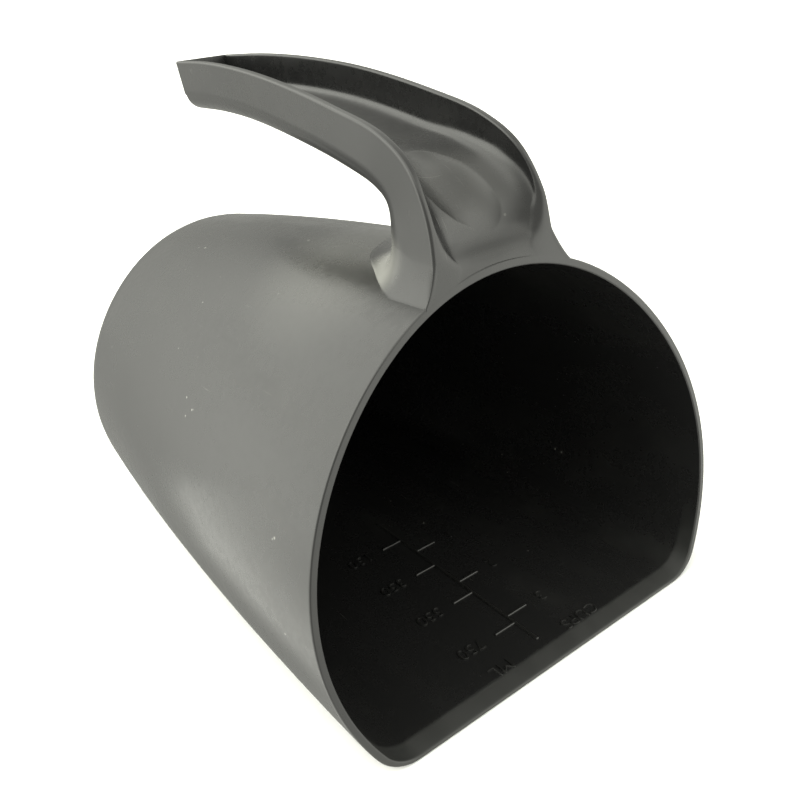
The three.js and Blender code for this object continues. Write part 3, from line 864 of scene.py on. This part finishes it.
def plastic(name, gloss=0.26, dusty=1.0, base=BLACK, handle=False, painted_crown_light=False):
    """Black moulded plastic: fine grain, handling marks, thin scratches, specks of dust, with painted
    highlights at the handle's foot and dish and painted light on the crown behind the neck.
    """
    mat = bpy.data.materials.new(name)
    mat.use_nodes = True
    bsdf = mat.node_tree.nodes["Principled BSDF"]
    n = Nodes(mat.node_tree)
    place = n.add("ShaderNodeTexCoord").outputs["Object"]
    axes = n.add("ShaderNodeSeparateXYZ", {0: place}).outputs
    cloud = n.noise(place, *CLOUD)
    smear = n.noise(n.stretched(place, SMEAR_STRETCH, SMEAR_TURN), *SMEAR)
    fleck = n.noise(place, *FLECK)
    lines = scratch_lines(n, place)
    scraped = scraped_lip(n, axes, smear)
    worn = n.math("MULTIPLY", n.band(cloud, *WORN_CLOUD), n.band(smear, *WORN_SMEAR))
    colour = n.mix(scraped, n.mix(worn, base, WORN), SCRAPED)
    if handle:
        colour = handle_highlight_and_scuffs(n, place, axes, cloud, smear, colour)
    if painted_crown_light:
        # Painted light: lighter crown behind the neck, where the neck's shade falls.
        crown_light = patch(n, place, CROWN_LIGHT_SPOT, CROWN_LIGHT_REACH, n.band(smear, *CROWN_LIGHT_UNEVEN))
        colour = n.mix(crown_light, colour, PAINTED_LIGHT)
    colour = n.mix(n.math("MULTIPLY", lines, SCRATCH_DUST), colour, DUST)
    colour = n.mix(n.math("MULTIPLY", specks(n, place), SPECK_DUST * dusty), colour, DUST)
    rough = roughness(n, gloss, smear, fleck, lines, scraped)
    if handle:
        rough = n.math("ADD", rough, settled_dust(n, axes))
    n.feed(bsdf.inputs["Base Color"], colour)
    n.feed(bsdf.inputs["Roughness"], rough)
    n.feed(bsdf.inputs["Normal"], relief(n, place, fleck, cloud))
    bsdf.inputs["IOR"].default_value = 1.5
    return mat


black = plastic("black_plastic")
skins = bowl_pieces(black)
skins.update(handle_pieces(plastic("handle_plastic", handle=True)))
# The crown's material carries the painted light behind the neck.
skins["bowl_crown"].data.materials[0] = plastic("crown_plastic", painted_crown_light=True)
for node, piece in skins.items():
    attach(piece, "root")
    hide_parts(node)


# ---- scale moulded into the bowl's floor ----
SCALE_FROM, SCALE_TO = 8.5, 86.0
SCALE_WIDTH, SCALE_HEIGHT = 0.9, 0.4
TICK_FROM, TICK_TO = 0.2, 7.5  # a tick's ends, off the middle
LEFT_TICKS = [17.7, 35.9, 54.1, 72.3]
RIGHT_TICKS = [21.0, 42.4, 63.8]
SINK = 0.15  # how far the raised marks reach into the floor
CHAMFER, CHAMFER_FROM = 0.18, 0.55  # width, and the share of the height at which it starts


def add_bar(soup, start, end, low):
    """Raised bar with a chamfered top, along x or y."""
    start, end = np.array(start, float), np.array(end, float)
    way = (end - start) / np.linalg.norm(end - start)
    out = np.array([way[1], -way[0]]) * SCALE_WIDTH / 2
    levels = ((0, low - SINK), (0, low + SCALE_HEIGHT * CHAMFER_FROM), (CHAMFER, low + SCALE_HEIGHT))
    rings = []
    for shrink, z in levels:
        a, b, side = start + way * shrink, end - way * shrink, out * (1 - 2 * shrink / SCALE_WIDTH)
        rings.append([(x, y, z) for x, y in (a - side, b - side, b + side, a + side, a - side)])
    for low_ring, high_ring in zip(rings, rings[1:]):
        soup.add_strip(np.array(low_ring), np.array(high_ring))
    soup.add_fan(np.array(rings[0][:4]))
    soup.add_fan(np.array(rings[-1][:4]))


def marks(material):
    """The centre line and the ticks on both sides of it, as one piece."""
    soup = Soup()
    add_bar(soup, (0, SCALE_FROM), (0, SCALE_TO), WALL)
    for side, ticks in ((-1, LEFT_TICKS), (1, RIGHT_TICKS)):
        for y in ticks:
            add_bar(soup, (side * TICK_FROM, y), (side * TICK_TO, y), WALL)
    return make_object("scale_marks_skin", soup, material)


DIGIT_SIZE = 5.8
NUMERAL_HALF, NUMERAL_BEVEL, NUMERAL_THINNED = 0.2, 0.06, 0.12  # half the height, bevel, loss of width
NUMERAL_LIFT = 0.12  # height of a numeral's middle above the floor
NUMBERS = [
    ("750", -16.2, 18.0, DIGIT_SIZE),
    ("550", -16.2, 36.2, DIGIT_SIZE),
    ("350", -16.2, 54.4, DIGIT_SIZE),
    ("150", -16.2, 72.6, DIGIT_SIZE),
    ("ML", -14.8, 7.2, DIGIT_SIZE),
    ("3", 13.4, 21.2, DIGIT_SIZE),
    ("2", 13.4, 42.6, DIGIT_SIZE),
    ("1", 13.4, 64.0, DIGIT_SIZE),
    ("CUPS", 15.2, 7.4, DIGIT_SIZE * 0.95),
]


def numeral_mesh(text, x, y, size):
    """One word or number lying on the floor, as a mesh in the frame."""
    curve = bpy.data.curves.new("numeral", "FONT")
    curve.body = text
    curve.align_x, curve.align_y = "CENTER", "CENTER"
    curve.size = size * MM
    curve.offset = -NUMERAL_THINNED * MM
    curve.extrude = NUMERAL_HALF * MM
    curve.bevel_depth = NUMERAL_BEVEL * MM
    curve.resolution_u = 4
    holder = bpy.data.objects.new("numeral", curve)
    bpy.context.scene.collection.objects.link(holder)
    bpy.context.view_layer.update()
    mesh = bpy.data.meshes.new_from_object(holder)
    spot = Vector(to_frame([x, y, WALL + NUMERAL_LIFT]))
    mesh.transform(Matrix.Translation(spot) @ Matrix.Rotation(math.pi, 4, "Z"))
    bpy.data.objects.remove(holder)
    return mesh


def numbers(material):
    """Raised numerals that read from the handle's side, with their tops towards the lip."""
    joined = bmesh.new()
    for text, x, y, size in NUMBERS:
        mesh = numeral_mesh(text, x, y, size)
        joined.from_mesh(mesh)
        bpy.data.meshes.remove(mesh)
    mesh = bpy.data.meshes.new("scale_numbers")
    joined.to_mesh(mesh)
    joined.free()
    mesh.materials.clear()
    mesh.materials.append(material)
    piece = bpy.data.objects.new("scale_numbers", mesh)
    bpy.context.scene.collection.objects.link(piece)
    return piece


raised = plastic("raised_plastic", gloss=0.29, dusty=0.5, base=RAISED)
lines = marks(raised)
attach(lines, "root")
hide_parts("scale_marks")
numerals = numbers(raised)
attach(numerals, "root")


# ---- stage, light and camera, in metres ----
FLOOR_FLAT, FLOOR_CURVE, FLOOR_WALL = 1.6, 1.0, 2.2
FLOOR_RINGS = [0.3, 0.8, FLOOR_FLAT]
FLOOR_SIDES, CURVE_STEPS = 96, 12
FLOOR_DROP = 0.0002
PAPER_SCALE, PAPER_SHADE, PAPER_ROUGH = 9.0, (0.3, 0.7, 0.86, 0.9), 0.9
TINT = (1.025, 1.03, 0.945, 1)  # colour of all the light


def plain_material(name):
    """A new material, its node tree's calls and its Principled BSDF."""
    mat = bpy.data.materials.new(name)
    mat.use_nodes = True
    return mat, Nodes(mat.node_tree), mat.node_tree.nodes["Principled BSDF"]


def floor_paper():
    mat, n, bsdf = plain_material("floor_white")
    place = n.add("ShaderNodeTexCoord").outputs["Object"]
    shade = n.band(n.noise(place, PAPER_SCALE), *PAPER_SHADE)
    grey = n.add("ShaderNodeCombineColor", {0: shade, 1: shade, 2: shade}).outputs[0]
    n.feed(bsdf.inputs["Base Color"], grey)
    bsdf.inputs["Roughness"].default_value = PAPER_ROUGH
    return mat


def stage_piece(name, points, faces, mat):
    mesh = bpy.data.meshes.new(name)
    mesh.from_pydata(points, [], faces)
    mesh.materials.append(mat)
    piece = bpy.data.objects.new(name, mesh)
    bpy.context.scene.collection.objects.link(piece)
    return piece


def make_floor():
    """Pale floor that curves up into a wall all the way round."""
    turns = np.linspace(0, math.pi / 2, CURVE_STEPS + 1)[1:]
    reach = FLOOR_RINGS + [FLOOR_FLAT + FLOOR_CURVE * math.sin(t) for t in turns]
    rise = [0] * len(FLOOR_RINGS) + [FLOOR_CURVE * (1 - math.cos(t)) for t in turns]
    reach.append(reach[-1])
    rise.append(rise[-1] + FLOOR_WALL)
    ring = [(k, (k + 1) % FLOOR_SIDES) for k in range(FLOOR_SIDES)]
    points, faces = [(0, 0, -FLOOR_DROP)], [(0, 1 + k, 1 + after) for k, after in ring]
    angles = [2 * math.pi * k / FLOOR_SIDES for k in range(FLOOR_SIDES)]
    for r, z in zip(reach, rise):
        points += [(r * math.cos(a), r * math.sin(a), z - FLOOR_DROP) for a in angles]
    for i in range(len(reach) - 1):
        a, b = 1 + i * FLOOR_SIDES, 1 + (i + 1) * FLOOR_SIDES
        faces += [(a + k, b + k, b + after, a + after) for k, after in ring]
    piece = stage_piece("floor", points, faces, floor_paper())
    piece.data.shade_smooth()
    return piece


floor = make_floor()
floor.visible_diffuse = False
floor.visible_glossy = False
floor.visible_shadow = False

# Parts of the room: a direction, then the cosines of the angle from it between which the part sets in.
OPEN_SKY = ((0.321, 0.887, -0.332), 0.874, 0.411)  # everything but a dark end, behind the scoop
RIGHT = ((0.9, -0.1, 0.1), -0.1, 0.5)
FRONT_RIGHT = ((0.62, -0.75, 0.2), 0.62, 0.95)
KEY = ((-0.714, 0.333, 0.616), 0.88, 0.97)  # lamp, up on the left and a little behind
CAMERA_SIDE = ((-0.55, -0.8, 0.05), 0.45, 0.85)
GROUND = ((0, 0, -1), 0.4, 0.75)
# How bright parts are, and what share of the light others take away.
SURROUND_LIGHT, SKY_LIGHT, FRONT_RIGHT_LIGHT, KEY_LIGHT, SHEET_LIGHT = 0.58, 2.81, 1.5, 1.5, 1.8
RIGHT_DIM, CAMERA_DIM, GROUND_DIM = 0.75, 0.72, 0.3
SHEET = [(-0.078, -0.08), (-0.084, 0.02), (-0.100, 0.075), (-0.125, 0.115)]
SHEET += [(-0.15, 0.15), (-0.2, 0.19), (-0.34, 0.22), (-0.34, -0.08)]
SHEET_HEIGHT = 0.0005


def make_world():
    """Soft light from all round, with a dark end behind the scoop and less light on the camera's side."""
    world = bpy.data.worlds.new("world")
    bpy.context.scene.world = world
    world.use_nodes = True
    n = Nodes(world.node_tree)
    way = n.add("ShaderNodeTexCoord").outputs["Generated"]

    def facing(part):
        direction, low, high = part
        toward = Vector(direction).normalized()
        dot = n.add("ShaderNodeVectorMath", {0: way, 1: toward}, operation="DOT_PRODUCT").outputs["Value"]
        return n.band(dot, low, high)

    def lit(light, part, by):
        return n.math("ADD", light, n.math("MULTIPLY", facing(part), by))

    def dimmed(light, part, by):
        return n.math("MULTIPLY", light, n.math("SUBTRACT", 1.0, n.math("MULTIPLY", facing(part), by)))

    light = dimmed(facing(OPEN_SKY), RIGHT, RIGHT_DIM)
    light = n.math("ADD", n.math("MULTIPLY", light, SKY_LIGHT), SURROUND_LIGHT)
    light = lit(light, FRONT_RIGHT, FRONT_RIGHT_LIGHT)
    light = lit(light, KEY, KEY_LIGHT)
    light = dimmed(light, CAMERA_SIDE, CAMERA_DIM)
    light = dimmed(light, GROUND, GROUND_DIM)
    background = world.node_tree.nodes["Background"]
    background.inputs["Color"].default_value = TINT
    n.feed(background.inputs["Strength"], light)


make_world()


def make_reflector():
    """Bright sheet lying to the left of the scoop. Only its reflection shows."""
    mat, _, bsdf = plain_material("sheet_glow")
    bsdf.inputs["Base Color"].default_value = (0, 0, 0, 1)
    bsdf.inputs["Emission Color"].default_value = TINT
    bsdf.inputs["Emission Strength"].default_value = SHEET_LIGHT
    points = [(x, y, SHEET_HEIGHT) for x, y in SHEET]
    piece = stage_piece("sheet", points, [tuple(range(len(SHEET)))], mat)
    piece.visible_camera = False
    piece.visible_diffuse = False
    piece.visible_shadow = False


make_reflector()

# Camera: the way it looks back from the scoop, its place and its lens.
AZ, EL, ROLL = (math.radians(a) for a in (-33.5238, 25.7916, -6.6683))
EYE = Vector((-0.1209863, -0.2214762, 0.1634343))
LENS = 37.075
back = Vector((math.sin(AZ) * math.cos(EL), -math.cos(AZ) * math.cos(EL), math.sin(EL)))
level = Vector((math.cos(AZ), math.sin(AZ), 0))
up = back.cross(level)
right = math.cos(ROLL) * level + math.sin(ROLL) * up
over = -math.sin(ROLL) * level + math.cos(ROLL) * up
camera_data = bpy.data.cameras.new("camera")
camera_data.lens = LENS
camera_data.clip_start = 0.01
camera = bpy.data.objects.new("camera", camera_data)
camera.matrix_world = Matrix.Translation(EYE) @ Matrix((right, over, back)).transposed().to_4x4()
bpy.context.scene.collection.objects.link(camera)
bpy.context.scene.camera = camera
bpy.context.scene.view_settings.view_transform = "Standard"
